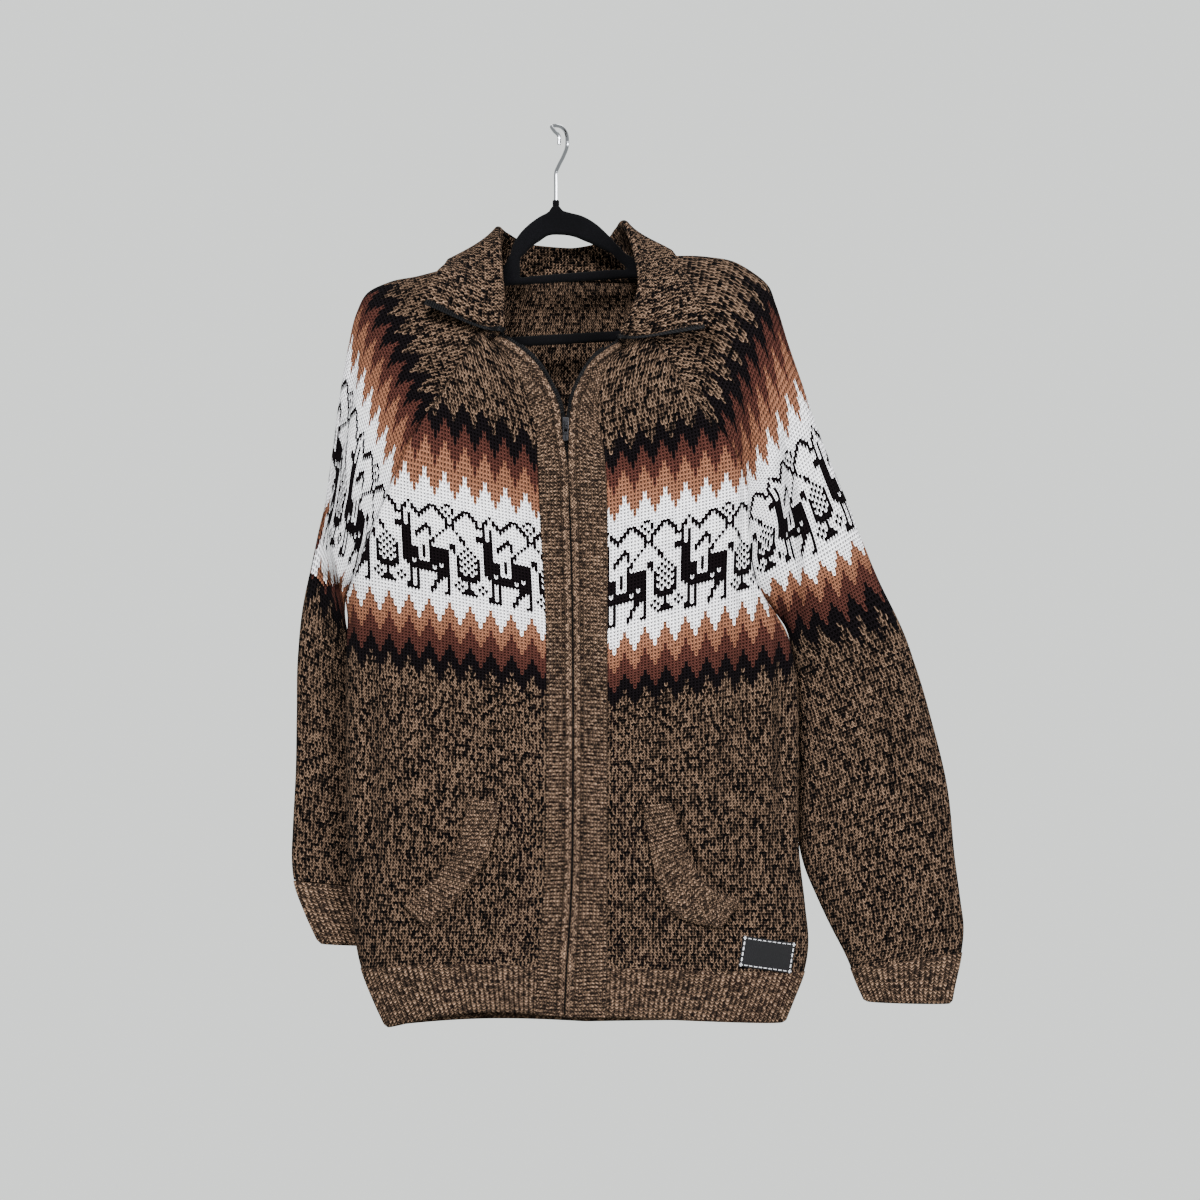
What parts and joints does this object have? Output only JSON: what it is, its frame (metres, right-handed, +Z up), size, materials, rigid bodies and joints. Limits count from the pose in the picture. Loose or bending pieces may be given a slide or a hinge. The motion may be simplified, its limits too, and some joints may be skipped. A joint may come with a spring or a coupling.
{
  "type": "alpaca cardigan on a hanger",
  "caption": "Knitted raglan cardigan with a zip, fold-over collar, ribbed hem and cuffs, slanted pockets and a patterned yoke, hanging on a flocked hanger.",
  "frame": {"origin": "inside top of the hanger's hook, where the rail touches it", "axes": "+Z up, -Y out of the cardigan's front, +X to the right as seen from the front"},
  "size_m": [0.6373, 0.1394, 0.8579],
  "materials": {
    "marl": "brown and black marl rib knit",
    "patterned": "plain knit in marl brown with coloured bands",
    "tape": "woven zip tape",
    "label": "woven patch",
    "zip_metal": "black nickel, satin",
    "velvet": "black flock on moulded plastic",
    "chrome": "bright chrome wire"
  },
  "bodies": {
    "garment": {"back": "patterned", "front_left": "patterned", "front_right": "patterned", "sleeve_left": "patterned", "sleeve_right": "patterned", "hem_back": "marl", "hem_left": "marl", "hem_right": "marl", "cuff_left": "marl", "cuff_right": "marl", "band_left": "marl", "band_right": "marl", "collar": "marl", "pocket_trim_left": "marl", "pocket_trim_right": "marl", "zip_tape_left": "tape", "zip_tape_right": "tape", "label_patch": "label", "zip_slider": "zip_metal", "hanger_frame": "velvet", "hanger_neck": "velvet", "hook": "chrome"},
    "tab": {"pull_tab": "zip_metal"}
  },
  "joints": [
    {"name": "pull_tab_swing", "type": "hinge", "parent": "garment", "child": "tab", "pos_m": [0.0085, -0.0481, -0.284], "axis": [-1, 0, 0], "range_deg": [0, 160]}
  ]
}
